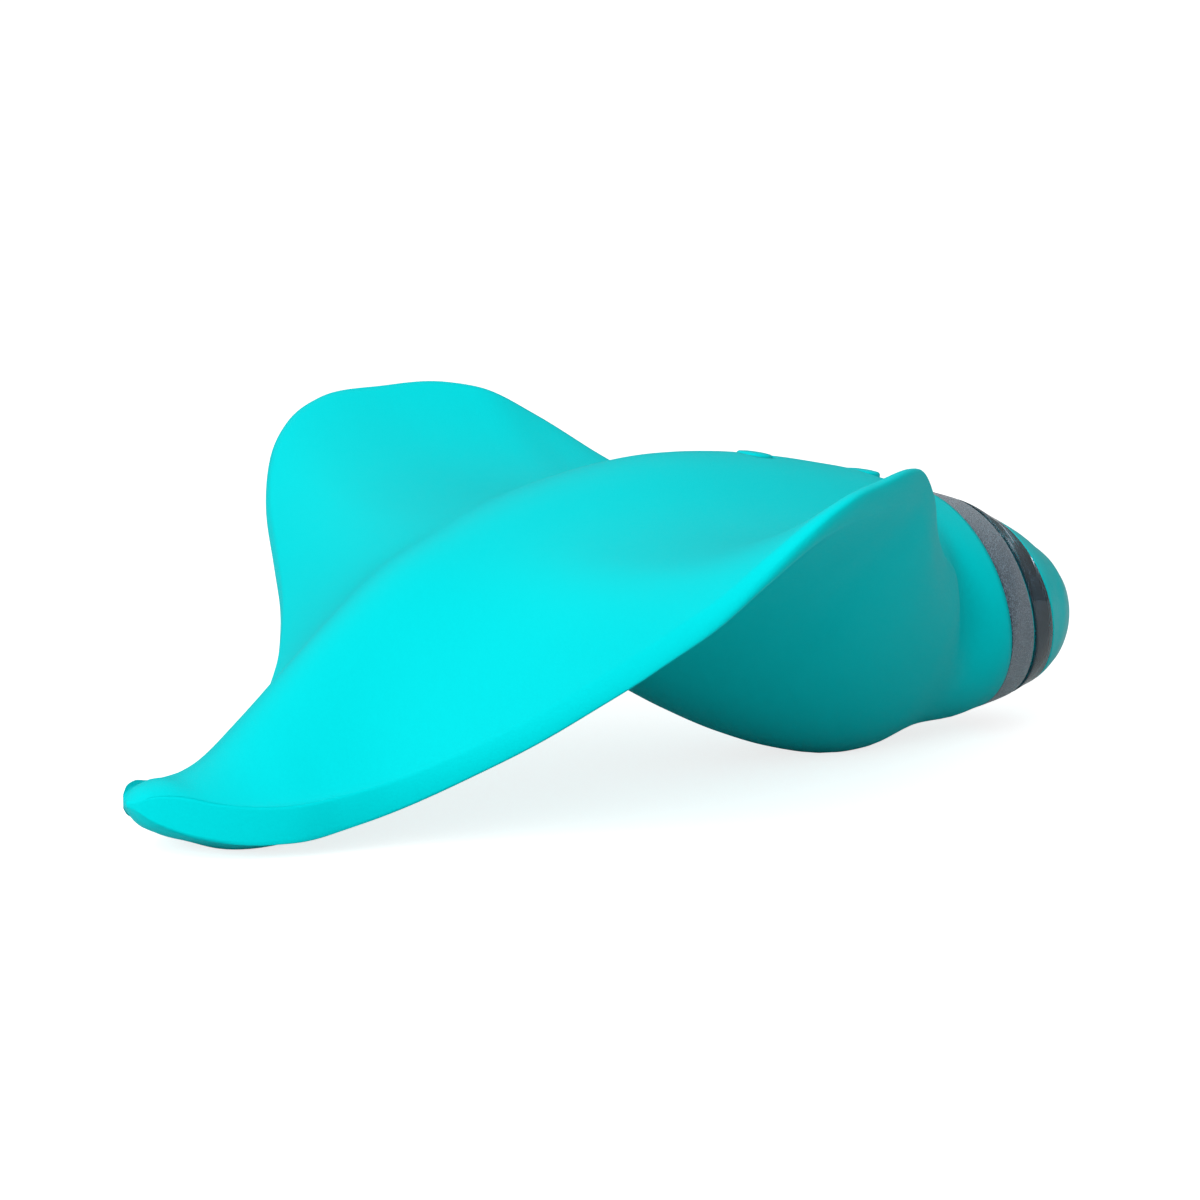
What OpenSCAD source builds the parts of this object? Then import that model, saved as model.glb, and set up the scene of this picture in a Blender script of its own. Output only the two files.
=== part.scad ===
// Rechargeable handheld body massager in the shape of a swimming ray.
// One soft silicone moulding makes the nose, the two curled wings and the skin of the handle.
// A hard two-part chassis inside it carries the motor, the battery and the circuit board.
// Frame: +X runs from the nose to the charging end, +Z is up, Z = 0 is the table it lies on.

/* [Handle] */
// Diameter of the chassis neck that the silicone skin ends on
neck_d = 24; // [23.6:0.1:24.4]
// Diameter of the tie tube that the rings and the end cap slide on
tie_d = 14; // [13.4:0.1:14.2]
// Wall of the hard chassis shells
chassis_wall = 1.5; // [1.2:0.1:1.6]
// Gap between the chassis and the silicone skin
skin_gap = 0.05; // [0.03:0.01:0.08]

/* [Light ring] */
// Width of the frosted light ring, along the handle
frost_w = 6; // [5.6:0.1:6.2]
// Width of the clear ring behind it
clear_w = 4.75; // [4.45:0.05:4.95]
// Thickness of the silicone gasket between the two rings
gasket_t = 0.35; // [0.3:0.05:0.5]

/* [Buttons] */
// Diameter of a button pad
button_d = 4.8; // [4.2:0.1:5.6]
// Gap round a button pad in its hole
button_gap = 0.35; // [0.3:0.05:0.5]

/* [Motor and battery] */
// Diameter of the motor can
motor_d = 12; // [11.6:0.1:12.4]
// Length of the motor can
motor_l = 18; // [17:0.5:19]
// Diameter of the battery cell
cell_d = 13; // [12:0.5:13]
// Length of the battery cell
cell_l = 28; // [26:0.5:29]

/* [Hidden] */
$fn = 72;

// ---- The skin's outline: each table is [distance from the nose tip, value], in millimetres.
// The nose tip stands this far in front of the frame's origin.
nose_to_origin = 74;
// Height of the top centre line
ridge_z = [
    [0, 7], [1.5, 8.3], [4, 9.2], [8, 9.2], [13, 10.9], [19, 16], [25, 21.2], [32, 26.7], [40, 32],
    [48, 35.4], [57, 38.5], [66, 40.6], [78, 41.9], [90, 41.3], [100, 39.8], [110, 37.8],
    [118, 36.2], [124, 34.6], [129, 32.6]
];
// Height of the underside's centre line
belly_z = [
    [0, 6.6], [1.5, 4.4], [4, 2.8], [8, 1.3], [13, -0.3], [18, -0.1], [24, 4.5], [32, 11.2],
    [42, 17.3], [52, 19.8], [60, 19.4], [68, 16.4], [76, 12], [84, 7.6], [92, 3.8], [100, 0.9],
    [106, -0.45], [113, -0.3], [120, 0.75], [125, 1.8], [129, 2.8]
];
// Half-width out to the rim of the nose and wing
rim_y = [
    [0, 0], [0.5, 1.5], [1.5, 2.8], [4, 5.1], [8, 8.1], [16, 12.5], [22, 14.5], [28, 17.3],
    [35, 22.6], [41.5, 29.6], [46, 36.6], [48.5, 42], [51.5, 48.6], [55, 53.4], [59, 55.7],
    [64, 55.9], [72, 53.2], [80, 49.4], [84.6, 46.2], [90, 42], [97.2, 35], [106.2, 27],
    [114.5, 21.4], [119.5, 18.6], [124.5, 15.7], [129, 14.3]
];
// Height of the rim
rim_z = [
    [0, 6.8], [1.5, 6.6], [4, 6], [8, 5], [16, 4.8], [22, 5.8], [28, 7.6], [35, 11.4], [41.5, 16.5],
    [46, 21.9], [51.5, 31.2], [55, 36.8], [59, 41], [64, 43.8], [72, 45], [80, 45.2], [84.6, 44],
    [90, 40.2], [97.2, 33.8], [106.2, 27], [113.5, 23], [120, 20.2], [124.5, 18], [129, 16.6]
];
// Height of the level where the section is widest, below the wing's fold
waist_z = [
    [0, 6.8], [4, 6], [8, 5], [16, 6.4], [24, 12], [32, 18], [42, 24], [52, 28], [62, 29],
    [70, 28.2], [79, 26], [87, 23.8], [95, 21.6], [104, 19.6], [115, 18.6], [122, 17.6], [129, 16.5]
];
// Half-width of the handle itself, without the wing
handle_y = [
    [0, 0], [0.5, 1.4], [1.5, 2.6], [4, 4.6], [8, 7], [16, 9], [24, 10], [32, 11], [42, 12.5],
    [52, 14], [62, 15.5], [72, 16.8], [84, 18.2], [95, 19], [106, 18.7], [115, 17.2],
    [120, 15.8], [125, 15], [129, 14.3]
];
// Half-thickness of the rounded rim
rim_t = [
    [0, 0], [1.5, 1.3], [4, 2.2], [8, 2.3], [16, 2.0], [30, 1.7], [50, 1.5], [72, 1.4],
    [85, 1.4], [98, 1.5], [108, 1.2], [118, 0], [129, 0]
];
// How sharply the top centre line is crested: 1 is round, 2 is a soft crest
crest = [[0, 1], [8, 1.3], [20, 2], [40, 2], [60, 1.6], [90, 1.3], [110, 1.05], [118, 1], [129, 1]];
// How late the top surface lifts out to the rim: high numbers leave a deep valley
lift_top = [
    [0, 2], [16, 3], [35, 4], [50, 8], [60, 12], [85, 12], [100, 10], [115, 9], [129, 8]
];
// How late the underside lifts out to the rim
lift_under = [[0, 2], [16, 3], [35, 4], [50, 5], [129, 5]];
// How late the section spreads out to the rim
spread = [[0, 2], [16, 3], [35, 4], [50, 5], [60, 6], [100, 6], [115, 6], [129, 5]];
// Lean of the section, so that the last ones lie parallel to the slanted light ring
ring_lean = 13.5;
lean = [[0, 0], [104, 0], [112, 2], [120, 8], [125, 12], [128.6, ring_lean]];

// ---- The core axis: the chassis, the rings and the end cap are turned about it.
// It slopes down to the rear and crosses x = core_x at height core_z.
core_x = 118;
core_z = 18.25;
core_slope = 10;
// Radius of the outside of the tail, against the distance along the core axis
tail_r = [
    [-6, 17], [0, 16.3], [4, 15.85], [8, 15.4], [11, 14.9], [14, 13.9], [17, 12.95], [20, 11.9],
    [23, 10.5], [25, 9.6], [27, 8.15]
];
tail_end = 29.3;
tail_flat_r = 5.5;
// Radius of the outside of the chassis, which ends in the neck
neck_r = neck_d / 2;
chassis_r = [
    [-57, 0], [-56.7, 1.9], [-55.2, 4.1], [-52, 6.3], [-46, 8.6], [-38, 11.5], [-30, 14],
    [-22, 15.1], [-14, 15.3], [-7, 14.4], [-1, 12.9], [3.5, neck_r],
    [4.5, neck_r], [17, neck_r]
];
chassis_front = -57;
neck_end = 17.5;
// Larger than any radius, for the boxes and bars that cut or bound a piece
far = 40;
// Where the slanted planes of the rings cross the core axis
skin_end = 10.1;
gasket_at = skin_end + frost_w;
clear_at = gasket_at + gasket_t;
cap_at = clear_at + clear_w;
plane_lean = ring_lean + core_slope;

// ---- Tie tube, end cap and what they hold, along the core axis
tie_r = tie_d / 2;
tie_wall = 1.4;
tie_fit = 0.05;
tie_end = 24.2;
flange_s = 5.6;
flange_t = 1.6;
lead_hole_u = 8.8;
cap_wall = 1.8;
hub_wall = 1.5;
cap_bore_end = 24.5;
dock_face_t = 2;
dock_pocket_r = 5;
seal_s = 22.3;
seal_r = 0.52;
groove_w = 1.3;
groove_depth = 1;
contact_board_s = 20.6;
contact_board_t = 0.8;
pin_y = 2.4;
pin_r = 0.9;
pin_proud = 0.15;
magnet_u = 3.1;
magnet_r = 1.3;
magnet_l = 2;
led_board_t = 1;
led_gap = 0.2;
led_h = 0.7;
led_w = 1.8;
led_count = 6;
led_ring_r = 8.1;

// ---- Buttons: place along the core axis, and the height of the pad's top face above it
power_s = -25.4;
power_top = 18.45;
mode_s = -6.6;
mode_top = 17.7;
pad_foot_u = 15.7;
pad_round = 0.3;
stem_r = 1.6;
stem_hole_r = 2;
plunger_r = 1.2;
board_u = 8.2;
board_t = 1;
board_top = board_u + board_t;
switch_h = 3;
switch_w = 4.5;
plunger_h = 1;
press_u = board_top + switch_h + plunger_h;

// ---- Motor, battery, board and fasteners, along the core axis
motor_s = -44.5;
motor_r = motor_d / 2;
motor_end = motor_s + motor_l;
can_wall = 0.5;
boot_r = motor_r + 1.2;
shaft_r = 0.75;
shaft_bore_r = 0.8;
shaft_front = -51.8;
bearing_r = 2.4;
bearing_l = 1.6;
weight_r = 4.3;
weight_l = 4.6;
weight_s = -51.5;
weight_hub_r = 1.7;
weight_cut = 0.4;
bell_l = 2;
magnet_t = 1;
magnet_half_w = 4;
magnet_gap = 1.5;
armature_r = 4.1;
armature_l = 9;
commutator_r = 1.8;
slot_r = 0.9;
rib_t = 1.5;
boot_ribs = [-43, -31.8];
cell_r = cell_d / 2;
cell_s = -25;
cell_u = -3.5;
cell_end = cell_s + cell_l;
cradle_ribs = [-15.4, -5.4];
cradle_t = 1.2;
tab_r = 3;
tab_t = 0.3;
screw_spots = [[-20, 10.8], [-20, -10.8], [-1, 9.1], [-1, -9.1]];
screw_r = 0.7;
screw_hole_r = 0.9;
screw_head_r = 1.4;
screw_head_h = 1;
screw_seat_u = -5;
screw_tip_u = 4.5;
boss_r = 1.9;
post_spots = [[-17, 6], [-17, -6]];
post_r = 1.5;
board_screw_r = 0.6;
board_screw_l = 2.4;
board_s = -30;
board_l = 27;
board_w = 14.6;
wire_r = 0.45;
// Where the light ring's leads leave the front of its slanted board
led_foot_s = skin_end - led_gap - led_h - led_board_t - (lead_hole_u + wire_r) * tan(plane_lean) - 0.05;

// ======== Curves ========
// Slope of the table's line between points i and i + 1
function chord(t, i) = (t[i + 1][1] - t[i][1]) / (t[i + 1][0] - t[i][0]);
// Slope of the smooth curve at point i
function slope(t, i) =
    i == 0 ? chord(t, 0)
    : i == len(t) - 1 ? chord(t, i - 1)
    : let (before = t[i][0] - t[i - 1][0], after = t[i + 1][0] - t[i][0])
      (chord(t, i - 1) * after + chord(t, i) * before) / (before + after);
// Last point of the table that is not past x
function seat(t, x, i = 0) = i >= len(t) - 2 || x < t[i + 1][0] ? i : seat(t, x, i + 1);
// Value of the smooth curve through the table's points
function curve(t, x) =
    let (
        i = seat(t, x),
        gap = t[i + 1][0] - t[i][0],
        u = min(1, max(0, (x - t[i][0]) / gap)),
        a = u * u
    )
    (2 * u * a - 3 * a + 1) * t[i][1] + (u * a - 2 * a + u) * gap * slope(t, i)
    + (3 * a - 2 * u * a) * t[i + 1][1] + (u * a - a) * gap * slope(t, i + 1);
function ease(u) = let (v = min(1, max(0, u))) v * v * (3 - 2 * v);

// ======== Skin sections ========
// Angles round a section, from the crest; they crowd together at the rim
quarter = [0, 9, 18, 27, 36, 45, 54, 62, 69, 74.5, 79, 82.5, 85.2, 87.5, 89.3];
half_turn = concat(quarter, [90], [for (i = [len(quarter) - 1:-1:0]) 180 - quarter[i]]);
turn = concat(half_turn, [for (i = [len(half_turn) - 2:-1:1]) 360 - half_turn[i]]);
rim_sharp = 16;
rim_round = 0.1;

// A point of the wing-and-body section at distance x from the nose and angle t
function wing_point(x, t) =
    let (
        s = abs(sin(t)), c = cos(t), side = sign(sin(t)),
        w = curve(rim_y, x), b = min(curve(handle_y, x), w),
        z0 = curve(waist_z, x),
        y = side * (b * s + (w - b) * pow(s, curve(spread, x))),
        body = c > 0 ? (curve(ridge_z, x) - z0) * pow(c, curve(crest, x))
                     : (z0 - curve(belly_z, x)) * c,
        lift = pow(s, curve(c > 0 ? lift_top : lift_under, x)),
        edge = curve(rim_t, x) * pow(s, rim_sharp) * min(1, max(-1, c / rim_round)),
        z = body + (curve(rim_z, x) - z0) * lift + edge,
        k = curve(lean, x)
    )
    [x - nose_to_origin - z * sin(k), y, z0 + z * cos(k)];

// Point of the frame that lies at s along the core axis and u above it
function core_point(s, u, y = 0) = [
    core_x - nose_to_origin + s * cos(core_slope) + u * sin(core_slope),
    y,
    core_z - s * sin(core_slope) + u * cos(core_slope)
];
// A point of a turned surface where a plane through s0 with this lean cuts it
function turned_point(profile, s0, k, t, s, rounds = 4) =
    let (
        across = norm([cos(t) * cos(k), sin(t)]),
        reach = curve(profile, s) / across,
        s1 = s0 - reach * cos(t) * sin(k)
    )
    rounds == 0 ? core_point(s, reach * cos(t) * cos(k), reach * sin(t))
                : turned_point(profile, s0, k, t, s1, rounds - 1);

blend_from = 110;
skin_end_x = core_x + skin_end * cos(core_slope);
// The skin eases from the wing-and-body section into the turned tail
function skin_point(x, t) =
    let (p = skin_point_free(x, t)) [p[0], p[1] * scoop(x, t), max(0, p[2])];
// A shallow scoop narrows the body just behind the wings
scoop_x = 121;
scoop_l = 3.7;
scoop_depth = 0.17;
function scoop(x, t) = 1 - scoop_depth * exp(-pow((x - scoop_x) / scoop_l, 2)) * pow(abs(sin(t)), 6);
function skin_point_free(x, t) =
    let (
        w = ease((x - blend_from) / (skin_end_x - 4 - blend_from)),
        s0 = (x - core_x) / cos(core_slope),
        k = curve(lean, x) + core_slope * w
    )
    w <= 0 ? wing_point(x, t)
           : (1 - w) * wing_point(x, t) + w * turned_point(tail_r, s0, k, t, s0);

skin_stations = concat(
    [0.05, 0.3, 0.8, 1.5, 2.6, 4.2, 6.5, 9.5, 13, 17, 21],
    [for (x = [24.5:3:45.5]) x],
    [for (x = [47.5:1.8:60.1]) x],
    [for (x = [63:3:87]) x],
    [for (x = [90:3.6:126]) x],
    [skin_end_x]
);
// The cavity follows the chassis, then its neck, out to the skin's slanted end
cavity_stations = [skin_end, 4.5, 3.5, 1.5, -1, -4, -7, -10.5, -14, -18, -22, -26, -30, -34, -38, -42,
                   -46, -49, -52, -53.6, -55.2, -56.1, -56.7, chassis_front - 0.1];
// It grows by enough that its flats clear the round chassis
cavity_flats = cos(4.5);
function cavity_point(s, t) =
    let (r = (curve(chassis_r, s) + skin_gap) / cavity_flats)
    turned_point([[-90, r], [90, r]], s, s == skin_end ? plane_lean : 0, t, s);

skin_rings = concat(
    [for (x = skin_stations) [for (t = turn) skin_point(x, t)]],
    [for (s = cavity_stations) [for (t = turn) cavity_point(s, t)]]
);

// A closed skin over a list of rings with the same number of points
module loft(rings) {
    n = len(rings[0]);
    m = len(rings);
    points = [for (ring = rings) for (p = ring) p];
    sides = [
        for (i = [0:m - 2]) for (j = [0:n - 1])
            let (a = i * n + j, b = i * n + (j + 1) % n)
            for (f = [[a, b, b + n], [a, b + n, a + n]]) f
    ];
    first = [for (j = [n - 1:-1:0]) j];
    last = [for (j = [0:n - 1]) (m - 1) * n + j];
    polyhedron(points = points, faces = concat([first], sides, [last]), convexity = 8);
}

// ======== Places and turned shapes ========
// Children are drawn on the core axis: +X along it to the rear, +Z away from it
module on_core(s = 0, u = 0, y = 0) {
    translate(core_point(0, 0)) rotate([0, core_slope, 0]) translate([s, y, u]) children();
}
// Children are drawn with their +Z along the core axis, to the rear
module along_core(s = 0, u = 0, y = 0) {
    on_core(s, u, y) rotate([0, 90, 0]) children();
}
// A solid turned about the core axis from [radius, distance along the axis] points
module turned(outline) {
    along_core() rotate_extrude() polygon(outline);
}
module tube(s, l, outer, inner) {
    along_core(s) difference() {
        cylinder(r = outer, h = l);
        translate([0, 0, -1]) cylinder(r = inner, h = l + 2);
    }
}
module rod(s, l, r, u = 0, y = 0) {
    along_core(s, u, y) cylinder(r = r, h = l);
}
// Outline of a turned surface between two places along the core axis
function outline_of(profile, from, to, step, grow = 0) =
    [for (s = [from:step:to]) [curve(profile, s) + grow, s]];
// Children are drawn on a ring plane: +X square to the plane, +Z up in it
module on_plane(s) {
    on_core(s) rotate([0, -plane_lean, 0]) children();
}
// Everything behind a slanted ring plane
module behind_plane(s) {
    on_plane(s) translate([0, -far, -far]) cube([2 * far, 2 * far, 2 * far]);
}
// The slice of the children between two slanted planes
module slanted_slice(from, to) {
    difference() {
        intersection() {
            children();
            behind_plane(from);
        }
        behind_plane(to);
    }
}
// A box on the core axis, from its middle's place and its size along, across and up
module block(s, y, u, size) {
    on_core(s, u, y) translate([-size[0] / 2, -size[1] / 2, 0]) cube(size);
}
// An upright cylinder that stands on the core axis plane's place
module peg(s, y, u, r, h) {
    on_core(s, u, y) cylinder(r = r, h = h);
}
function unit(v) = v / norm(v);
wire_turn = [0:45:315];
// A wire swept through [s, y, u] points
module wire(route, r = wire_r) {
    at = [for (p = route) core_point(p[0], p[2], p[1])];
    last = len(at) - 1;
    runs = [for (i = [0:last - 1]) unit(at[i + 1] - at[i])];
    ways = [for (i = [0:last]) unit(runs[max(0, i - 1)] + runs[min(last - 1, i)])];
    side = unit(cross(runs[0], abs(runs[0][1]) < 0.9 ? [0, 1, 0] : [0, 0, 1]));
    loft([for (i = [0:last])
        let (x = unit(side - (side * ways[i]) * ways[i]), y = cross(ways[i], x))
        [for (a = wire_turn) at[i] + r * (cos(a) * x - sin(a) * y)]]);
}

// ======== Silicone skin ========
module silicone_body() {
    color("darkturquoise") difference() {
        loft(skin_rings);
        for (s = [power_s, mode_s]) peg(s, 0, press_u - 1, button_d / 2 + button_gap, 10);
    }
}

// ======== Chassis shells ========
module chassis_solid(grow = 0) {
    front = chassis_front - grow;
    places = [for (i = [len(cavity_stations) - 1:-1:1]) cavity_stations[i]];
    turned(concat([[0, front]], [for (s = places) if (s > front + 0.1) [curve(chassis_r, s) + grow, s]],
        [[neck_r + grow, neck_end], [0, neck_end]]));
}
module chassis_shell() {
    difference() {
        chassis_solid();
        chassis_solid(-chassis_wall);
        behind_plane(skin_end);
    }
    // ribs that hold the rubber boot of the motor
    for (s = boot_ribs) intersection() {
        tube(s, rib_t, far, boot_r + tie_fit);
        chassis_solid(-chassis_wall / 2);
    }
}
module half(up) {
    intersection() {
        children();
        on_core(-2 * far, up ? 0 : -far, -far) cube([3 * far, 2 * far, far]);
    }
}
module screw_bosses(u, h) {
    intersection() {
        for (p = screw_spots) peg(p[0], p[1], u, boss_r, h);
        chassis_solid(-chassis_wall / 2);
    }
}
module chassis_upper() {
    color("gainsboro") difference() {
        union() {
            half(true) chassis_shell();
            screw_bosses(0, screw_tip_u + 1);
            intersection() {
                for (p = post_spots) peg(p[0], p[1], board_top, post_r, 8);
                chassis_solid(-chassis_wall / 2);
            }
        }
        for (p = screw_spots) peg(p[0], p[1], -1, screw_r, screw_tip_u + 1);
        for (p = post_spots) peg(p[0], p[1], board_top - 1, board_screw_r, board_screw_l + 1);
        for (s = [power_s, mode_s]) peg(s, 0, press_u - 1, stem_hole_r, 5);
    }
}
module chassis_lower() {
    color("gainsboro") difference() {
        union() {
            half(false) chassis_shell();
            screw_bosses(-far, far);
            // ribs that cradle the battery
            for (s = cradle_ribs) intersection() {
                block(s, 0, -far, [cradle_t, far, far + cell_u]);
                chassis_solid(-chassis_wall / 2);
            }
        }
        rod(cell_s - 1, cell_l + 2, cell_r + tie_fit, cell_u);
        for (p = screw_spots) {
            peg(p[0], p[1], -far, screw_hole_r, far + 1);
            peg(p[0], p[1], -far, screw_head_r + 0.15, far + screw_seat_u);
        }
    }
}
module chassis_screws() {
    color("silver") for (p = screw_spots) {
        peg(p[0], p[1], screw_seat_u, screw_r, screw_tip_u - screw_seat_u);
        difference() {
            peg(p[0], p[1], screw_seat_u - screw_head_h, screw_head_r, screw_head_h);
            peg(p[0], p[1], screw_seat_u - screw_head_h - 1, 0.5, 1.5);
        }
    }
}

// ======== Motor and its eccentric weight ========
module motor_can() {
    color("silver") difference() {
        union() {
            rod(motor_s, motor_l, motor_r);
            rod(motor_s - bearing_l, bearing_l, bearing_r);
        }
        rod(motor_s + 0.8, motor_l, motor_r - can_wall);
        rod(motor_s - 3, 5, shaft_bore_r);
    }
}
module motor_magnets() {
    color("dimgray") for (side = [-1, 1]) intersection() {
        tube(motor_s + 3, armature_l + 2, motor_r - can_wall, motor_r - can_wall - magnet_t);
        on_core(-2 * far, -magnet_half_w, side > 0 ? magnet_gap : -far - magnet_gap)
            cube([3 * far, far, 2 * magnet_half_w]);
    }
}
module motor_end_bell() {
    color("ivory") tube(motor_end - bell_l, bell_l, motor_r - can_wall, shaft_bore_r);
}
module motor_boot() {
    color("dimgray") tube(motor_s, motor_l, boot_r, motor_r);
}
module motor_shaft() {
    color("lightgray") rod(shaft_front, motor_end - shaft_front - 0.4, shaft_r);
}
module motor_armature() {
    color("chocolate") difference() {
        union() {
            rod(motor_s + 4, armature_l, armature_r);
            rod(motor_s + 4 + armature_l, 2.2, commutator_r);
        }
        rod(motor_s, motor_l, shaft_r);
        for (a = [0:120:240])
            along_core(motor_s + 3) rotate(a) translate([armature_r - 0.4, 0, 0])
                cylinder(r = slot_r, h = armature_l + 2);
    }
}
module eccentric_weight() {
    color("darkgray") difference() {
        union() {
            intersection() {
                rod(weight_s, weight_l, weight_r);
                on_core(-2 * far, -far - weight_cut, -far) cube([3 * far, 2 * far, far]);
            }
            rod(weight_s, weight_l, weight_hub_r);
        }
        rod(weight_s - 1, weight_l + 2, shaft_r);
    }
}
module motor_terminals() {
    color("goldenrod") for (y = [-2, 2]) block(motor_end + 0.6, y, 3.6, [1.2, 1.2, 0.5]);
}
module motor_leads() {
    color("firebrick") for (y = [-2, 2])
        wire([[motor_end + 0.7, y, 4.1], [motor_end + 0.7, y, 6.6], [-24.6, y, 7.3], [-24.6, y, board_u]]);
}

// ======== Battery ========
module battery_cell() {
    color("seagreen") {
        rod(cell_s + 0.4, cell_l - 0.8, cell_r, cell_u);
        rod(cell_s, cell_l, cell_r - 1, cell_u);
    }
}
module battery_tabs() {
    color("silver") {
        rod(cell_s - tab_t, tab_t, tab_r, cell_u);
        rod(cell_end, tab_t, tab_r, cell_u);
    }
}
module battery_leads() {
    front = cell_s - tab_t - wire_r;
    rear = cell_end + tab_t + wire_r;
    color("black") {
        wire([[front, 4.6, cell_u + 1], [front, 4.6, 6.4], [-24.2, 4.6, 7.2], [-24.2, 4.6, board_u]]);
        wire([[rear, 0, cell_u], [rear, 0, 3.2], [-3.4, 0, 6.8], [-5.6, 0, 7.3], [-5.6, 0, board_u]]);
    }
}
module battery_foam() {
    color("darkslategray") difference() {
        block(-14, 0, 1, [12, 8, board_u - 1]);
        rod(cell_s, cell_l, cell_r, cell_u);
    }
}

// ======== Circuit board, switches and buttons ========
module main_board() {
    color("darkgreen") difference() {
        block(board_s + board_l / 2, 0, board_u, [board_l, board_w, board_t]);
        for (p = post_spots) peg(p[0], p[1], board_u - 1, board_screw_r + 0.1, 3);
    }
}
module board_chips() {
    color("black") {
        block(-14.6, 0, board_top, [4, 4, 0.9]);
        block(-19.6, 0, board_top, [2.8, 3.2, 0.9]);
        for (y = [-5.6, 5.6]) block(-23.4, y, board_top, [1.2, 2, 0.6]);
        for (y = [-3.4, 3.4]) block(-12.4, y * 1.5, board_top, [1, 1.8, 0.5]);
    }
}
module board_screws() {
    color("silver") for (p = post_spots) {
        peg(p[0], p[1], board_u - 0.8, 1.2, 0.8);
        peg(p[0], p[1], board_u, board_screw_r, board_t + board_screw_l);
    }
}
module tact_switch(s) {
    color("dimgray") difference() {
        block(s, 0, board_top, [switch_w, switch_w, switch_h]);
        peg(s, 0, board_top + 1, plunger_r + 0.1, switch_h);
    }
}
module plunger(s) {
    color("white") peg(s, 0, board_top + 1.6, plunger_r, switch_h + plunger_h - 1.6);
}
module button(s, top) {
    color("darkturquoise") {
        peg(s, 0, pad_foot_u, button_d / 2, top - pad_foot_u - pad_round);
        on_core(s, top - pad_round)
            cylinder(r1 = button_d / 2, r2 = button_d / 2 - pad_round, h = pad_round);
        peg(s, 0, press_u, stem_r, pad_foot_u - press_u);
    }
}
module power_switch() { tact_switch(power_s); }
module power_plunger() { plunger(power_s); }
module power_button() { button(power_s, power_top); }
module mode_switch() { tact_switch(mode_s); }
module mode_plunger() { plunger(mode_s); }
module mode_button() { button(mode_s, mode_top); }

// ======== Light ring, tie tube and end cap ========
module tail_solid(grow = 0) {
    turned(concat([[0, 2]], outline_of(tail_r, 2, 27.2, 1.4, grow),
        [[tail_flat_r + 1.4 + grow, 28.4 + grow / 2], [tail_flat_r + grow, tail_end + grow],
         [0, tail_end + grow]]));
}
module ring_slice(from, to) {
    difference() {
        slanted_slice(from, to) tail_solid();
        rod(0, 30, tie_r + tie_fit);
    }
}
module frosted_ring() { color("lightslategray") ring_slice(skin_end, gasket_at); }
module ring_gasket() { color("darkturquoise") ring_slice(gasket_at, clear_at); }
module clear_ring() { color([0.2, 0.3, 0.4, 0.7]) ring_slice(clear_at, cap_at); }
module end_cap() {
    color("darkturquoise") difference() {
        intersection() {
            tail_solid();
            behind_plane(cap_at);
        }
        difference() {
            tail_solid(-cap_wall);
            rod(0, 30, tie_r + tie_fit + hub_wall);
        }
        rod(0, cap_bore_end, tie_r + tie_fit);
        rod(0, tail_end - dock_face_t, dock_pocket_r);
        for (side = [-1, 1]) rod(20, 12, pin_r, 0, side * pin_y);
    }
}
module tie_tube() {
    color("gainsboro") difference() {
        union() {
            rod(flange_s - 1, tie_end - flange_s + 1, tie_r);
            slanted_slice(flange_s, flange_s + flange_t) rod(-5, 25, neck_r - chassis_wall - tie_fit);
        }
        rod(0, 40, tie_r - tie_wall);
        tube(seal_s - groove_w / 2, groove_w, tie_r + 1, tie_r - groove_depth);
        rod(0, 10, 1, lead_hole_u);
    }
}
module cap_seal() {
    color("black") along_core(seal_s) rotate_extrude()
        translate([tie_r - groove_depth + seal_r, 0]) circle(r = seal_r, $fn = 24);
}
module led_board() {
    color("darkgreen") slanted_slice(skin_end - led_gap - led_h - led_board_t, skin_end - led_gap - led_h)
        tube(2, 20, neck_r - chassis_wall - 0.1, tie_r + 0.3);
}
module leds() {
    color("white") for (i = [0:led_count - 1])
        on_plane(skin_end - led_gap - led_h) rotate([i * 360 / led_count, 0, 0])
            translate([0, -led_w / 2, led_ring_r]) cube([led_h, led_w, 1.5]);
}
module led_leads() {
    color("royalblue")
        wire([[led_foot_s, 0, lead_hole_u], [0.8, 0, lead_hole_u], [-0.8, 0, board_top + wire_r + 0.05],
              [-3.8, 0, board_top + wire_r + 0.05]]);
}
module contact_board() {
    color("darkgreen") rod(contact_board_s, contact_board_t, tie_r - tie_wall - 0.1);
}
module contact_pins() {
    color("gold") for (side = [-1, 1])
        rod(contact_board_s + contact_board_t, tail_end + pin_proud - contact_board_s - contact_board_t,
            pin_r, 0, side * pin_y);
}
module dock_magnets() {
    color("silver") for (side = [-1, 1])
        rod(tail_end - dock_face_t - magnet_l, magnet_l, magnet_r, side * magnet_u);
}
module charge_leads() {
    color("firebrick") for (y = [-1.6, 1.6])
        wire([[contact_board_s - 0.05, y, 3], [4.6, y, 3.4], [-3.2, y, 6.6], [-6, y, 7.2],
              [-6, y, board_u]]);
}

silicone_body();
chassis_upper();
chassis_lower();
chassis_screws();
motor_can();
motor_magnets();
motor_end_bell();
motor_boot();
motor_shaft();
motor_armature();
eccentric_weight();
motor_terminals();
motor_leads();
battery_cell();
battery_tabs();
battery_leads();
battery_foam();
main_board();
board_chips();
board_screws();
power_switch();
power_plunger();
power_button();
mode_switch();
mode_plunger();
mode_button();
led_board();
leds();
led_leads();
frosted_ring();
ring_gasket();
clear_ring();
tie_tube();
end_cap();
cap_seal();
contact_board();
contact_pins();
dock_magnets();
charge_leads();
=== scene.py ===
import math

import bpy
import numpy as np
from mathutils import Matrix, Vector


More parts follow.
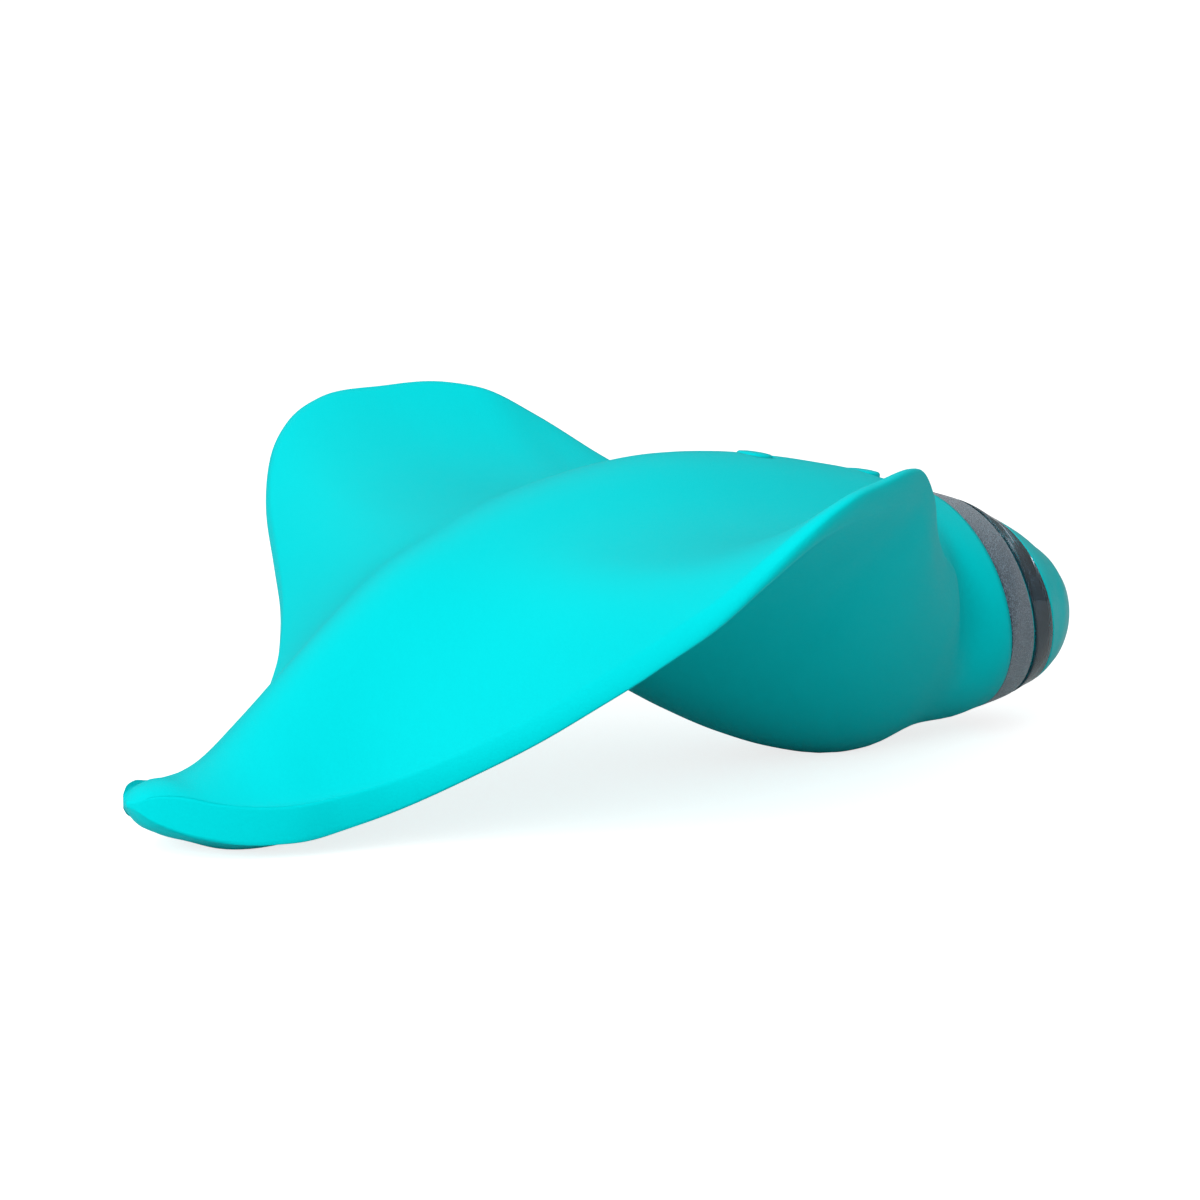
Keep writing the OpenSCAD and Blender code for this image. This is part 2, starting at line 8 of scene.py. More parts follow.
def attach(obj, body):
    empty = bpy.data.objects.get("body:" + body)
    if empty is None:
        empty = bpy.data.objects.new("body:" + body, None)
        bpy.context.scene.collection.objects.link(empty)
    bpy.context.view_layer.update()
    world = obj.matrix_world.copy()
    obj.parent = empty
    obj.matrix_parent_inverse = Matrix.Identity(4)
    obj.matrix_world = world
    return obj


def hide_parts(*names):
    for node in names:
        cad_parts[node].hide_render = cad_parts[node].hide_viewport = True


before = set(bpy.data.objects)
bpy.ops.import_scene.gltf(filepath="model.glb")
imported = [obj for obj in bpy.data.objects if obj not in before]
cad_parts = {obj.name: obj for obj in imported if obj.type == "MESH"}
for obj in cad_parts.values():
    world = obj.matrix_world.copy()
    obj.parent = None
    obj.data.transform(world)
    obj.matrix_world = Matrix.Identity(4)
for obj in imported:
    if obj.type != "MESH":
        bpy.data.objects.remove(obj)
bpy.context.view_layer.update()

# ==== The shot ====
# A plain studio table: one pale floor, a long lens from the left front just above table height, a
# large soft light above the nose end, and an even white surround that fills the shaded side.
scene = bpy.context.scene
scene.view_settings.view_transform = "Standard"

CAMERA_AZIMUTH = -36.9
CAMERA_ELEVATION = 10.4
CAMERA_DISTANCE = 0.6
CAMERA_TARGET = Vector((-0.0031, 0, 0.0239))
LENS_MM = 140.7

camera_data = bpy.data.cameras.new("studio_camera")
camera = bpy.data.objects.new("studio_camera", camera_data)
scene.collection.objects.link(camera)
scene.camera = camera
camera_data.lens = LENS_MM
camera_data.sensor_width = 36
camera_data.clip_start = 0.01
turn = math.radians(CAMERA_AZIMUTH)
rise = math.radians(CAMERA_ELEVATION)
towards_camera = Vector((math.sin(turn) * math.cos(rise), -math.cos(turn) * math.cos(rise), math.sin(rise)))
camera.location = CAMERA_TARGET + CAMERA_DISTANCE * towards_camera
camera.rotation_mode = "QUATERNION"
camera.rotation_quaternion = (-towards_camera).to_track_quat("-Z", "Y")

KEY_PLACE = Vector((-0.69, -0.32, 0.48))
KEY_AIM = Vector((0, 0, 0.02))
KEY_SIZE = 0.75
KEY_POWER = 6.8

key_data = bpy.data.lights.new("key_box", "AREA")
key_data.shape = "RECTANGLE"
key_data.size = key_data.size_y = KEY_SIZE
key_data.energy = KEY_POWER
key_box = bpy.data.objects.new("key_box", key_data)
scene.collection.objects.link(key_box)
key_box.location = KEY_PLACE
key_box.rotation_mode = "QUATERNION"
key_box.rotation_quaternion = (KEY_AIM - KEY_PLACE).to_track_quat("-Z", "Y")


def node(tree, kind, links=(), **values):
    """A shader node with its settings, its socket values and its incoming links."""
    made = tree.nodes.new(kind)
    for key, value in values.items():
        setattr(made, key, value)
    for key, value in links:
        if isinstance(value, bpy.types.NodeSocket):
            tree.links.new(value, made.inputs[key])
        else:
            made.inputs[key].default_value = value
    return made


# The surround is bright overhead and dim along the horizon; seen straight or through the rings
# it is plain white.
HORIZON_LIGHT = 0.14
OVERHEAD_LIGHT = 0.6
world = bpy.data.worlds.new("studio")
world.use_nodes = True
sky = world.node_tree
direction = node(sky, "ShaderNodeTexCoord").outputs["Generated"]
upward = node(sky, "ShaderNodeSeparateXYZ", [("Vector", direction)])
surround = node(sky, "ShaderNodeMapRange", [
    ("Value", upward.outputs["Z"]), ("From Min", 0.0), ("From Max", 0.75),
    ("To Min", HORIZON_LIGHT), ("To Max", OVERHEAD_LIGHT)], interpolation_type="SMOOTHSTEP")
ray_kind = node(sky, "ShaderNodeLightPath")
seen_straight = node(sky, "ShaderNodeMath", [
    (0, ray_kind.outputs["Is Camera Ray"]), (1, ray_kind.outputs["Is Transmission Ray"])],
    operation="MAXIMUM")
brightness = node(sky, "ShaderNodeMix", [
    ("Factor", seen_straight.outputs[0]), ("A", surround.outputs["Result"]), ("B", 1)])
sky.nodes["Background"].inputs["Color"].default_value = (1, 1, 1, 1)
sky.links.new(brightness.outputs["Result"], sky.nodes["Background"].inputs["Strength"])
scene.world = world

# The floor glows a little for the camera alone, so that it stays as pale as the surround.
FLOOR_REACH = 4
FLOOR_GLOW = 0.78
corners = [(-FLOOR_REACH, -FLOOR_REACH, 0), (FLOOR_REACH, -FLOOR_REACH, 0),
           (FLOOR_REACH, FLOOR_REACH, 0), (-FLOOR_REACH, FLOOR_REACH, 0)]
floor_mesh = bpy.data.meshes.new("studio_floor")
floor_mesh.from_pydata(corners, [], [(0, 1, 2, 3)])
floor = bpy.data.objects.new("studio_floor", floor_mesh)
scene.collection.objects.link(floor)
floor_paint = bpy.data.materials.new("studio_floor_paint")
floor_paint.use_nodes = True
paint = floor_paint.node_tree
paint_shader = paint.nodes["Principled BSDF"]
paint_shader.inputs["Base Color"].default_value = (0.6, 0.6, 0.6, 1)
paint_shader.inputs["Roughness"].default_value = 0.9
paint_shader.inputs["Emission Color"].default_value = (1, 1, 1, 1)
seen = node(paint, "ShaderNodeLightPath")
glow = node(paint, "ShaderNodeMapRange", [
    ("Value", seen.outputs["Is Camera Ray"]), ("To Min", 0), ("To Max", FLOOR_GLOW)])
paint.links.new(glow.outputs["Result"], paint_shader.inputs["Emission Strength"])
floor_mesh.materials.append(floor_paint)

# ==== Silicone body ====
# One liquid-silicone moulding: the curled nose, both swept wings and the skin of the handle.
# It is moulded on its own, pulled over the hard chassis, and ends in a slanted plane at the light ring.
MM = 0.001
NOSE_TO_ORIGIN = 74.0

# The tables are in millimetres by the distance from the nose tip. RIDGE_Z and BELLY_Z are the top and
# bottom lines, WAIST_Z the height between them, HANDLE_Y the body's half width without the wings,
# RIM_Y and RIM_Z the wing edge and RIM_T its half thickness. CREST, LIFT_TOP, LIFT_UNDER and SPREAD
# are powers: the larger, the sharper the ridge and the nearer to the edge the wing lifts and spreads.
# LEAN tilts the sections in degrees. TAIL_R and CHASSIS_R are radii by the distance along the
# handle's sloping core axis.
RIDGE_Z = [
    (0, 7.0), (1.5, 8.3), (4, 9.2), (8, 9.2), (13, 10.9), (19, 16), (25, 21.2), (32, 26.7), (40, 32),
    (48, 35.4), (57, 38.5), (66, 40.6), (78, 41.9), (90, 41.3), (100, 39.8), (110, 37.8),
    (118, 36.2), (124, 34.6), (129, 32.6),
]
BELLY_Z = [
    (0, 6.6), (1.5, 4.4), (4, 2.8), (8, 1.3), (13, -0.3), (18, -0.1), (24, 4.5), (32, 11.2),
    (42, 17.3), (52, 19.8), (60, 19.4), (68, 16.4), (76, 12), (84, 7.6), (92, 3.8), (100, 0.9),
    (106, -0.45), (113, -0.3), (120, 0.75), (125, 1.8), (129, 2.8),
]
RIM_Y = [
    (0, 0), (0.5, 1.5), (1.5, 2.8), (4, 5.1), (8, 8.1), (16, 12.5), (22, 14.5), (28, 17.3),
    (35, 22.6), (41.5, 29.6), (46, 36.6), (48.5, 42), (51.5, 48.6), (55, 53.4), (59, 55.7),
    (64, 55.9), (72, 53.2), (80, 49.4), (84.6, 46.2), (90, 42), (97.2, 35), (106.2, 27),
    (114.5, 21.4), (119.5, 18.6), (124.5, 15.7), (129, 14.3),
]
RIM_Z = [
    (0, 6.8), (1.5, 6.6), (4, 6), (8, 5), (16, 4.8), (22, 5.8), (28, 7.6), (35, 11.4),
    (41.5, 16.5), (46, 21.9), (51.5, 31.2), (55, 36.8), (59, 41), (64, 43.8), (72, 45),
    (80, 45.2), (84.6, 44), (90, 40.2), (97.2, 33.8), (106.2, 27), (113.5, 23), (120, 20.2),
    (124.5, 18), (129, 16.6),
]
WAIST_Z = [
    (0, 6.8), (4, 6), (8, 5), (16, 6.4), (24, 12), (32, 18), (42, 24), (52, 28), (62, 29),
    (70, 28.2), (79, 26), (87, 23.8), (95, 21.6), (104, 19.6), (115, 18.6), (122, 17.6), (129, 16.5),
]
HANDLE_Y = [
    (0, 0), (0.5, 1.4), (1.5, 2.6), (4, 4.6), (8, 7), (16, 9), (24, 10), (32, 11), (42, 12.5),
    (52, 14), (62, 15.5), (72, 16.8), (84, 18.2), (95, 19), (106, 18.7), (115, 17.2), (120, 15.8),
    (125, 15), (129, 14.3),
]
RIM_T = [
    (0, 0), (1.5, 1.3), (4, 2.2), (8, 2.3), (16, 2), (30, 1.7), (50, 1.5), (72, 1.4), (85, 1.4),
    (98, 1.5), (108, 1.2), (118, 0), (129, 0),
]
CREST = [(0, 1), (8, 1.3), (20, 2), (40, 2), (60, 1.6), (90, 1.3), (110, 1.05), (118, 1), (129, 1)]
LIFT_TOP = [(0, 2), (16, 3), (35, 4), (50, 8), (60, 12), (85, 12), (100, 10), (115, 9), (129, 8)]
LIFT_UNDER = [(0, 2), (16, 3), (35, 4), (50, 5), (129, 5)]
SPREAD = [(0, 2), (16, 3), (35, 4), (50, 5), (60, 6), (100, 6), (115, 6), (129, 5)]
RING_LEAN = 13.5
LEAN = [(0, 0), (104, 0), (112, 2), (120, 8), (125, 12), (128.6, RING_LEAN)]
FAR = 90
CORE_X = 118.0
CORE_Z = 18.25
CORE_SLOPE = math.radians(10)
PLANE_LEAN = math.radians(RING_LEAN) + CORE_SLOPE
TAIL_R = [
    (-6, 17), (0, 16.3), (4, 15.85), (8, 15.4), (11, 14.9), (14, 13.9), (17, 12.95), (20, 11.9),
    (23, 10.5), (25, 9.6), (27, 8.15),
]
CHASSIS_R = [
    (-57, 0), (-56.7, 1.9), (-55.2, 4.1), (-52, 6.3), (-46, 8.6), (-38, 11.5), (-30, 14),
    (-22, 15.1), (-14, 15.3), (-7, 14.4), (-1, 12.9), (3.5, 12), (4.5, 12), (17, 12),
]
SKIN_END = 10.1
SKIN_END_X = CORE_X + SKIN_END * math.cos(CORE_SLOPE)
SKIN_GAP = 0.05
NOSE_START = 0.02
NOSE_ROUND = 2.4
RIM_SHARP = 16
RIM_ROUND = 0.1
BLEND_FROM = 110.0
SCOOP_X = 121
SCOOP_L = 3.7
SCOOP_DEPTH = 0.17
POWER_S = -25.4
MODE_S = -6.6
HOLE_R = 2.75
HOLE_FROM_U = 12


def curve(table, x):
    """Smooth curve through a table of (place, value) points."""
    px = np.array([p[0] for p in table], float)
    py = np.array([p[1] for p in table], float)
    chords = np.diff(py) / np.diff(px)
    slopes = np.empty(len(px))
    slopes[0], slopes[-1] = chords[0], chords[-1]
    before, after = np.diff(px)[:-1], np.diff(px)[1:]
    slopes[1:-1] = (chords[:-1] * after + chords[1:] * before) / (before + after)
    x = np.clip(x, px[0], px[-1])
    i = np.clip(np.searchsorted(px, x, side="right") - 1, 0, len(px) - 2)
    gap = px[i + 1] - px[i]
    u = (x - px[i]) / gap
    return (
        (2 * u**3 - 3 * u**2 + 1) * py[i] + (u**3 - 2 * u**2 + u) * gap * slopes[i]
        + (3 * u**2 - 2 * u**3) * py[i + 1] + (u**3 - u**2) * gap * slopes[i + 1]
    )


def ease(u):
    u = np.clip(u, 0, 1)
    return u * u * (3 - 2 * u)


def core_point(s, u, y=0.0):
    """Point of the frame, in millimetres, at s along the core axis and u above it."""
    x = CORE_X - NOSE_TO_ORIGIN + s * math.cos(CORE_SLOPE) + u * math.sin(CORE_SLOPE)
    z = CORE_Z - s * math.sin(CORE_SLOPE) + u * math.cos(CORE_SLOPE)
    return np.stack(np.broadcast_arrays(x, y, z), axis=-1)


def straight(r):
    """The profile of a plain round bore or bar."""
    return [(-FAR, r), (FAR, r)]


def turned_ring(profile, s0, lean, t):
    """Where a plane through s0 on the core axis, with this lean, cuts a turned surface."""
    across = np.hypot(np.cos(t) * math.cos(lean), np.sin(t))
    s = np.full_like(t, s0)
    for _ in range(12):
        reach = curve(profile, s) / across
        s = 0.5 * s + 0.5 * (s0 - reach * np.cos(t) * math.sin(lean))
    reach = curve(profile, s) / across
    return core_point(s, reach * np.cos(t) * math.cos(lean), reach * np.sin(t))


def wing_ring(x, t):
    """Section of the wings and the body at distance x from the nose tip."""
    s, c = np.abs(np.sin(t)), np.cos(t)
    over = c > 0
    wide = curve(RIM_Y, x)
    handle = min(curve(HANDLE_Y, x), wide)
    waist = curve(WAIST_Z, x)
    y = np.sign(np.sin(t)) * (handle * s + (wide - handle) * s ** curve(SPREAD, x))
    crest = (curve(RIDGE_Z, x) - waist) * np.abs(c) ** curve(CREST, x)
    body = np.where(over, crest, (waist - curve(BELLY_Z, x)) * c)
    lift = s ** np.where(over, curve(LIFT_TOP, x), curve(LIFT_UNDER, x))
    edge = curve(RIM_T, x) * s**RIM_SHARP * np.clip(c / RIM_ROUND, -1, 1)
    z = body + (curve(RIM_Z, x) - waist) * lift + edge
    k = math.radians(curve(LEAN, x))
    return np.stack([x - NOSE_TO_ORIGIN - z * math.sin(k), y, waist + z * math.cos(k)], axis=-1)


def skin_ring(x, t):
    w = float(ease((x - BLEND_FROM) / (SKIN_END_X - 4 - BLEND_FROM)))
    ring = wing_ring(x, t)
    if w > 0:
        lean = math.radians(curve(LEAN, x)) + CORE_SLOPE * w
        ring = (1 - w) * ring + w * turned_ring(TAIL_R, (x - CORE_X) / math.cos(CORE_SLOPE), lean, t)
    ring[:, 1] *= 1 - SCOOP_DEPTH * math.exp(-(((x - SCOOP_X) / SCOOP_L) ** 2)) * np.abs(np.sin(t)) ** 6
    ring[:, 2] = np.maximum(ring[:, 2], 0)
    return ring


def section_angles(per_quarter, crowding):
    """Angles round a section from the crest, crowding together at the rims."""
    quarter = 90 * (1 - (1 - np.arange(per_quarter) / per_quarter) ** crowding)
    half = np.concatenate([quarter, [90], 180 - quarter[::-1]])
    return np.radians(np.concatenate([half, 360 - half[-2:0:-1]]))



def add_mesh(name, points, faces):
    """A mesh object from points in millimetres."""
    mesh = bpy.data.meshes.new(name)
    mesh.from_pydata([tuple(p) for p in np.asarray(points) * MM], [], faces)
    mesh.polygons.foreach_set("use_smooth", [True] * len(mesh.polygons))
    mesh.update()
    piece = bpy.data.objects.new(name, mesh)
    scene.collection.objects.link(piece)
    return piece


def loft(name, rings):
    """A skin over rings with the same number of points, closed at both ends."""
    n, m = len(rings[0]), len(rings)
    faces = [
        (i * n + j, (i + 1) * n + j, (i + 1) * n + (j + 1) % n, i * n + (j + 1) % n)
        for i in range(m - 1) for j in range(n)
    ]
    faces += [tuple(range(n)), tuple((m - 1) * n + j for j in reversed(range(n)))]
    return add_mesh(name, np.concatenate(rings), faces)


skin_angles = section_angles(34, 1.9)
skin_stations = np.concatenate([
    NOSE_START + NOSE_ROUND * (1 - np.cos(np.linspace(0, math.pi / 2, 12)[:-1])),
    np.linspace(NOSE_START + NOSE_ROUND, 46, 58)[:-1], np.linspace(46, 66, 34)[:-1],
    np.linspace(66, SKIN_END_X, 84),
])
skin_rings = [skin_ring(x, skin_angles) for x in skin_stations]
cavity_stations = [SKIN_END, 4.5, 3.5, 1.5, -1, -4, -7, -10.5, -14, -18, -22, -26, -30, -34, -38, -42,
                   -46, -49, -52, -53.6, -55.2, -56.1, -56.7, -57.1]
for s in cavity_stations:
    cavity_r = float(curve(CHASSIS_R, s)) + SKIN_GAP
    lean = PLANE_LEAN if s == SKIN_END else 0
    skin_rings.append(turned_ring(straight(cavity_r), s, lean, skin_angles))
silicone = loft("silicone_skin", skin_rings)


def core_matrix(s, u, y=0.0):
    """Places a piece on the core axis: its X runs along the axis, its Z stands away from it."""
    place = Matrix.Translation(Vector(core_point(s, u, y)) * MM)
    return place @ Matrix.Rotation(CORE_SLOPE, 4, "Y")


def cut(piece, cutter):
    """Takes the cutter's shape out of the piece for good."""
    step = piece.modifiers.new("cut", "BOOLEAN")
    step.operation, step.solver, step.object = "DIFFERENCE", "EXACT", cutter
    settle(piece)
    bpy.data.objects.remove(cutter)


def settle(piece):
    """Turns the piece's modifiers into its mesh."""
    done = bpy.data.meshes.new_from_object(piece.evaluated_get(bpy.context.evaluated_depsgraph_get()))
    piece.modifiers.clear()
    old = piece.data
    piece.data = done
    bpy.data.meshes.remove(old)


def round_bar(name, r, h, sides=64):
    """A plain round bar along +Z from the origin, in millimetres, for cutting."""
    t = np.linspace(0, 2 * math.pi, sides, endpoint=False)
    ring = np.stack([r * np.cos(t), -r * np.sin(t)], axis=-1)
    rings = [np.column_stack([ring, np.full(sides, z)]) for z in (0, h)]
    return loft(name, rings)


for s in (POWER_S, MODE_S):
    hole = round_bar("button_hole", HOLE_R, 12)
    hole.matrix_world = core_matrix(s, HOLE_FROM_U)
    cut(silicone, hole)
silicone.data.polygons.foreach_set("use_smooth", [True] * len(silicone.data.polygons))


def group(name, inputs, outputs):
    """An empty shader node group with named sockets: {name: (type, default)}."""
    tree = bpy.data.node_groups.new(name, "ShaderNodeTree")
    for socket, (kind, value) in inputs.items():
        made = tree.interface.new_socket(socket, in_out="INPUT", socket_type=kind)
        made.default_value = value
    for socket, kind in outputs.items():
        tree.interface.new_socket(socket, in_out="OUTPUT", socket_type=kind)
    return tree, tree.nodes.new("NodeGroupInput"), tree.nodes.new("NodeGroupOutput")


FLOAT, COLOUR = "NodeSocketFloat", "NodeSocketColor"

# Fine moulded texture: a spark-eroded grain and a slow unevenness, used on silicone and plastics.
grain, grain_in, grain_out = group(
    "moulded_grain",
    {"Grain Size": (FLOAT, 0.0002), "Rough Low": (FLOAT, 0.4), "Rough High": (FLOAT, 0.5),
     "Colour": (COLOUR, (0.5, 0.5, 0.5, 1)), "Shade": (COLOUR, (0.4, 0.4, 0.4, 1))},
    {"Colour": COLOUR, "Roughness": FLOAT, "Height": FLOAT},
)
where = node(grain, "ShaderNodeTexCoord").outputs["Object"]
per_size = node(grain, "ShaderNodeMath", [(0, 1.0), (1, grain_in.outputs["Grain Size"])], operation="DIVIDE")
fine = node(grain, "ShaderNodeTexNoise", [("Vector", where), ("Scale", per_size.outputs[0]), ("Detail", 2.0)])
slow = node(grain, "ShaderNodeTexNoise", [("Vector", where), ("Scale", 45.0), ("Detail", 3.0)])
tint = node(grain, "ShaderNodeMix", [
    ("Factor", slow.outputs["Fac"]), (6, grain_in.outputs["Colour"]), (7, grain_in.outputs["Shade"])],
    data_type="RGBA")
dull = node(grain, "ShaderNodeMapRange", [
    ("Value", fine.outputs["Fac"]), ("From Min", 0.35), ("From Max", 0.65),
    ("To Min", grain_in.outputs["Rough Low"]), ("To Max", grain_in.outputs["Rough High"])])
grain.links.new(tint.outputs[2], grain_out.inputs["Colour"])
grain.links.new(dull.outputs["Result"], grain_out.inputs["Roughness"])
grain.links.new(fine.outputs["Fac"], grain_out.inputs["Height"])


def new_material(name, **sockets):
    """A Principled material with these constants set on the shader's own sockets."""
    material = bpy.data.materials.new(name)
    material.use_nodes = True
    shader = material.node_tree.nodes["Principled BSDF"]
    for socket, value in sockets.items():
        shader.inputs[socket.replace("_", " ")].default_value = value
    return material, material.node_tree, shader


def place_group(tree, shared, **values):
    made = tree.nodes.new("ShaderNodeGroup")
    made.node_tree = shared
    for socket, value in values.items():
        made.inputs[socket.replace("_", " ")].default_value = value
    return made


def bump(tree, shader, height, strength, distance):
    """Raises the surface by a height map, strength 0 to 1, distance in metres."""
    relief = node(tree, "ShaderNodeBump", [
        ("Height", height), ("Strength", strength), ("Distance", distance)])
    tree.links.new(relief.outputs["Normal"], shader.inputs["Normal"])


def grained_material(name, colour, shade, size, rough, relief, **sockets):
    """A moulded material: two close tones, a fine grain, and its roughness between two values."""
    material, tree, shader = new_material(name, **sockets)
    made = place_group(tree, grain, Grain_Size=size, Rough_Low=rough[0], Rough_High=rough[1],
                       Colour=(*colour, 1), Shade=(*shade, 1))
    tree.links.new(made.outputs["Colour"], shader.inputs["Base Color"])
    tree.links.new(made.outputs["Roughness"], shader.inputs["Roughness"])
    bump(tree, shader, made.outputs["Height"], relief, GRAIN_RISE)
    return material


GRAIN_RISE = 0.0002
TEAL = (0.0, 0.70, 0.73)
TEAL_DEEP = (0.0, 0.66, 0.70)
teal_silicone = grained_material("teal_silicone", TEAL, TEAL_DEEP, 0.00018, (0.45, 0.6), 0.2,
                                 IOR=1.41, Specular_IOR_Level=0.15, Specular_Tint=(0.1, 1, 1, 1))
silicone.data.materials.append(teal_silicone)
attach(silicone, "body")
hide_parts("silicone_body")

# ==== Buttons ====
# Two round silicone pads on stiff stems. Each comes up through its own hole in the skin, stands a
# little proud of it, and presses the plunger of a tactile switch.
BUTTON_R = 2.4
PAD_FOOT_U = 15.7
PRESS_U = 13.2
STEM_R = 1.6
PAD_EDGE = 0.45
PAD_CROWN = 0.12
POWER_TOP = 18.45
MODE_TOP = 17.7


def turned_piece(name, outline, matrix, sides=96):
    """A solid turned about its own +Z from (radius, height) points, in millimetres."""
    t = np.linspace(0, 2 * math.pi, sides, endpoint=False)
    rings = [np.column_stack([max(r, 0.001) * np.cos(t), -max(r, 0.001) * np.sin(t), np.full(sides, z)])
             for r, z in outline]
    piece = loft(name, rings)
    piece.data.transform(matrix)
    return piece


def round_corner(r, z, radius, start, steps=6):
    """Points of a quarter round whose centre is (r, z), turning up from the angle start."""
    return [(r + radius * math.cos(a), z + radius * math.sin(a))
            for a in np.radians(start + np.linspace(0, 90, steps))]


def button(name, node_name, body, s, top):
    height = top - PRESS_U
    foot = PAD_FOOT_U - PRESS_U
    outline = [(0, 0), (STEM_R, 0), (STEM_R, foot), (BUTTON_R, foot)]
    outline += round_corner(BUTTON_R - PAD_EDGE, height - PAD_EDGE - PAD_CROWN, PAD_EDGE, 0)
    outline += [(BUTTON_R * 0.5, height - PAD_CROWN * 0.25), (0, height)]
    piece = turned_piece(name, outline, core_matrix(s, PRESS_U))
    piece.data.materials.append(teal_silicone)
    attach(piece, body)
    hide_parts(node_name)


button("power_pad", "power_button", "power_cap", POWER_S, POWER_TOP)
button("mode_pad", "mode_button", "mode_cap", MODE_S, MODE_TOP)

# ==== Light ring ====
# Three slanted rings slide on the tie tube behind the skin: a wide frosted acrylic light guide,
# a thin silicone gasket, and a polished smoke-tinted ring. Their outer edges are rounded.
TIE_R = 7.05
FROST_W = 6.0
GASKET_T = 0.35
CLEAR_W = 4.75
GASKET_AT = SKIN_END + FROST_W
CLEAR_AT = GASKET_AT + GASKET_T
CAP_AT = CLEAR_AT + CLEAR_W
ring_angles = np.linspace(0, 2 * math.pi, 180, endpoint=False)


def grown(profile, by):
    return [(s, r + by) for s, r in profile]


def slanted_ring(name, start, end, edge, rear_edge, inset=0.0, slices=9):
    """A band of the tail between two slanted planes, with its outer edges rounded off."""
    def section(at, below):
        return turned_ring(grown(TAIL_R, -inset - below), at, PLANE_LEAN, ring_angles)

    rings = [turned_ring(straight(TIE_R), start, PLANE_LEAN, ring_angles)]
    for a in np.radians([0, 22.5, 45, 67.5, 90]):
        rings.append(section(start + edge * (1 - math.cos(a)), edge * (1 - math.sin(a))))
    for k in range(1, slices):
        rings.append(section(start + edge + (end - start - edge - rear_edge) * k / slices, 0))
    for a in np.radians([90, 67.5, 45, 22.5, 0]):
        rings.append(section(end - rear_edge * (1 - math.cos(a)), rear_edge * (1 - math.sin(a))))
    rings.append(turned_ring(straight(TIE_R), end, PLANE_LEAN, ring_angles))
    n, m = len(ring_angles), len(rings)
    faces = [
        (i * n + j, ((i + 1) % m) * n + j, ((i + 1) % m) * n + (j + 1) % n, i * n + (j + 1) % n)
        for i in range(m) for j in range(n)
    ]
    return add_mesh(name, np.concatenate(rings), faces)


frosted = slanted_ring("frosted_light_ring", SKIN_END, GASKET_AT, 0.15, 0.6)
gasket = slanted_ring("ring_gasket_band", GASKET_AT, CLEAR_AT, 0.1, 0.1, 0.4, 2)
smoked = slanted_ring("smoked_ring", CLEAR_AT, CAP_AT, 0.25, 0.25)

# Frosting specks: random cells lift the colour from Dark to Light as painted glints of the sparkle, while a
# noise haze sets the roughness and the cells raise a fine bump.
frost, frost_in, frost_out = group(
    "frost_specks_and_painted_glints",
    {"Speck Size": (FLOAT, 0.0003), "Dark": (COLOUR, (0.1, 0.1, 0.1, 1)),
     "Light": (COLOUR, (0.5, 0.5, 0.5, 1))},
    {"Colour": COLOUR, "Roughness": FLOAT, "Height": FLOAT},
)
where = node(frost, "ShaderNodeTexCoord").outputs["Object"]
per_size = node(frost, "ShaderNodeMath", [(0, 1.0), (1, frost_in.outputs["Speck Size"])], operation="DIVIDE")
specks = node(frost, "ShaderNodeTexVoronoi", [("Vector", where), ("Scale", per_size.outputs[0])])
haze = node(frost, "ShaderNodeTexNoise", [("Vector", where), ("Scale", per_size.outputs[0]), ("Detail", 4.0)])
painted_glint_mask = node(frost, "ShaderNodeMapRange", [
    ("Value", specks.outputs["Color"]), ("From Min", 0.5), ("From Max", 0.8)])
painted_glint_colour = node(frost, "ShaderNodeMix", [
    ("Factor", painted_glint_mask.outputs["Result"]), (6, frost_in.outputs["Dark"]), (7, frost_in.outputs["Light"])],
    data_type="RGBA")
spread = node(frost, "ShaderNodeMapRange", [
    ("Value", haze.outputs["Fac"]), ("From Min", 0.3), ("From Max", 0.7),
    ("To Min", 0.08), ("To Max", 0.28)])
frost.links.new(painted_glint_colour.outputs[2], frost_out.inputs["Colour"])
frost.links.new(spread.outputs["Result"], frost_out.inputs["Roughness"])
frost.links.new(specks.outputs["Distance"], frost_out.inputs["Height"])

frosted_acrylic, tree, shader = new_material("frosted_acrylic", IOR=1.49, Transmission_Weight=0.5,
                                             Specular_Tint=(0.45, 0.85, 1, 1))
# The Light tone is the colour of the painted glints in the specks.
made = place_group(tree, frost, Speck_Size=0.0002, Dark=(0.03, 0.07, 0.12, 1),
                   Light=(0.30, 0.45, 0.60, 1))
# Seen at a slant, the base colour is mixed towards pale blue-white: a painted sheen standing in for the
# grazing reflection.
glancing = node(tree, "ShaderNodeLayerWeight", [("Blend", 0.4)])
painted_sheen_mask = node(tree, "ShaderNodeMapRange", [
    ("Value", glancing.outputs["Facing"]), ("From Min", 0.15), ("From Max", 0.75)])
painted_sheen_colour = node(tree, "ShaderNodeMix", [
    ("Factor", painted_sheen_mask.outputs["Result"]), (6, made.outputs["Colour"]), (7, (0.75, 0.85, 0.95, 1))],
    data_type="RGBA")
tree.links.new(painted_sheen_colour.outputs[2], shader.inputs["Base Color"])
tree.links.new(made.outputs["Roughness"], shader.inputs["Roughness"])
bump(tree, shader, made.outputs["Height"], 0.8, 0.0002)

smoked_acrylic, tree, shader = new_material("smoked_acrylic", IOR=1.49, Transmission_Weight=0.95,
                                            Specular_Tint=(0.6, 0.9, 1, 1))
made = place_group(tree, grain, Grain_Size=0.004, Rough_Low=0.01, Rough_High=0.04,
                   Colour=(0.42, 0.52, 0.62, 1), Shade=(0.36, 0.46, 0.57, 1))
tree.links.new(made.outputs["Colour"], shader.inputs["Base Color"])
tree.links.new(made.outputs["Roughness"], shader.inputs["Roughness"])

for piece, node_name, material, slot in (
    (frosted, "frosted_ring", frosted_acrylic, "frosted_acrylic"),
    (gasket, "ring_gasket", teal_silicone, "teal_silicone"),
    (smoked, "clear_ring", smoked_acrylic, "smoked_acrylic"),
):
    piece.data.materials.append(material)
    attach(piece, "body")
    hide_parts(node_name)

